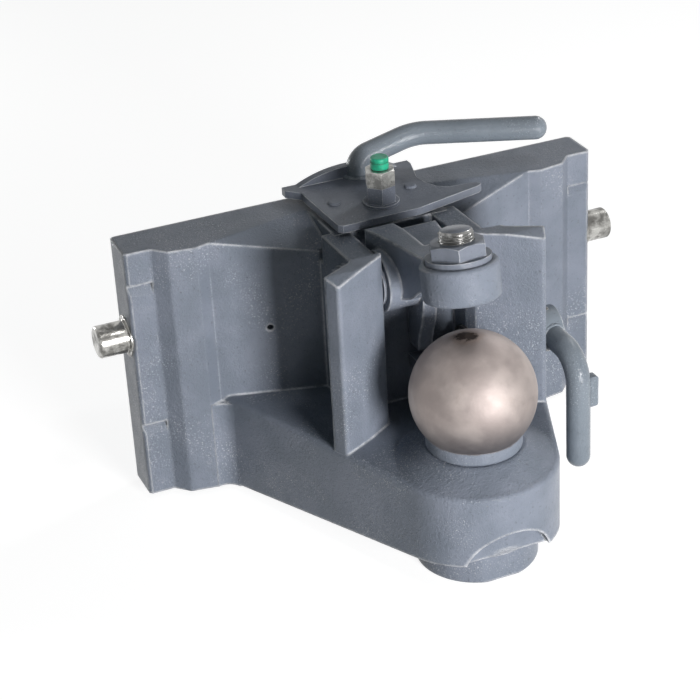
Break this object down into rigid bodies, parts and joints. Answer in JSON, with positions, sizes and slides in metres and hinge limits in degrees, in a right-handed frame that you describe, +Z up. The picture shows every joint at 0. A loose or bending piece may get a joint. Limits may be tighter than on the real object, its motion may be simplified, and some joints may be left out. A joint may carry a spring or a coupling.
{
  "type": "tractor ball hitch",
  "caption": "Cast tractor ball hitch with a hold-down over the ball, a cross latch with a bent handle, and a hand lever that draws two side locking pins in from ladder rails.",
  "frame": {"origin": "centre of the tow ball", "axes": "X along the width, right seen from the trailer; Y toward the tractor; Z up along the ball's stud"},
  "size_m": [0.38, 0.2413, 0.225],
  "materials": {
    "gray_paint": "glossy blue-gray paint over cast skin",
    "ball_steel": "satin turned steel with a warm tint",
    "bright_zinc": "bright zinc",
    "plain_steel": "plain machined steel",
    "green_plastic": "soft green cap",
    "black_plastic": "matte slide pad",
    "bronze": "bronze bearing"
  },
  "bodies": {
    "base": {"hitch_body": "gray_paint", "ball_stud": "ball_steel", "ball_nut": "gray_paint", "ball_nut_lock_screw": "plain_steel", "back_cover": "gray_paint", "cover_screws": "plain_steel", "left_pin_bush": "bright_zinc", "right_pin_bush": "bright_zinc", "shaft_bush": "bronze", "keeper_pin": "plain_steel", "keeper_clip": "plain_steel", "keeper_washers": "plain_steel"},
    "lever": {"lever_plate": "gray_paint", "hand_lever": "gray_paint", "lever_shaft": "gray_paint", "shaft_nut": "bright_zinc", "shaft_washer": "gray_paint", "grease_nipple": "bright_zinc", "nipple_cap": "green_plastic", "slide_pad": "black_plastic", "pad_rivets": "plain_steel", "cam": "plain_steel"},
    "left_pin": {"left_locking_pin": "bright_zinc", "left_pin_arm": "plain_steel", "left_drive_peg": "plain_steel", "left_pin_spring": "plain_steel"},
    "right_pin": {"right_locking_pin": "bright_zinc", "right_pin_arm": "plain_steel", "right_drive_peg": "plain_steel", "right_pin_spring": "plain_steel"},
    "keeper": {"keeper": "gray_paint", "adjusting_screw": "bright_zinc", "lock_nut": "bright_zinc", "nut_washer": "plain_steel"},
    "latch": {"latch_shaft": "plain_steel", "latch_handle": "gray_paint", "handle_tab": "gray_paint", "latch_key": "plain_steel", "latch_clip": "plain_steel", "latch_washer": "plain_steel"}
  },
  "joints": [
    {"name": "lever_swing", "type": "hinge", "parent": "base", "child": "lever", "pos_m": [0, 0.13, 0.074], "axis": [0, 0, -1], "range_deg": [0, 40]},
    {"name": "left_pin_slide", "type": "slide", "parent": "base", "child": "left_pin", "axis": [1, 0, 0], "range_m": [0, 0.02151], "stiffness_N_per_m": 1500, "springref_m": -0.02, "deforming": ["left_pin_spring"]},
    {"name": "right_pin_slide", "type": "slide", "parent": "base", "child": "right_pin", "axis": [-1, 0, 0], "range_m": [0, 0.02151], "stiffness_N_per_m": 1500, "springref_m": -0.02, "deforming": ["right_pin_spring"]},
    {"name": "keeper_hinge", "type": "hinge", "parent": "base", "child": "keeper", "pos_m": [0, 0.079, 0.049], "axis": [-1, 0, 0], "range_deg": [0, 55]},
    {"name": "latch_turn", "type": "hinge", "parent": "base", "child": "latch", "pos_m": [0, 0.067, -0.008], "axis": [-1, 0, 0], "range_deg": [0, 80]}
  ],
  "couplings": [
    {"joint": "left_pin_slide", "follows": "lever_swing", "m_per_rad": 0.030796},
    {"joint": "right_pin_slide", "follows": "lever_swing", "m_per_rad": 0.030796}
  ]
}
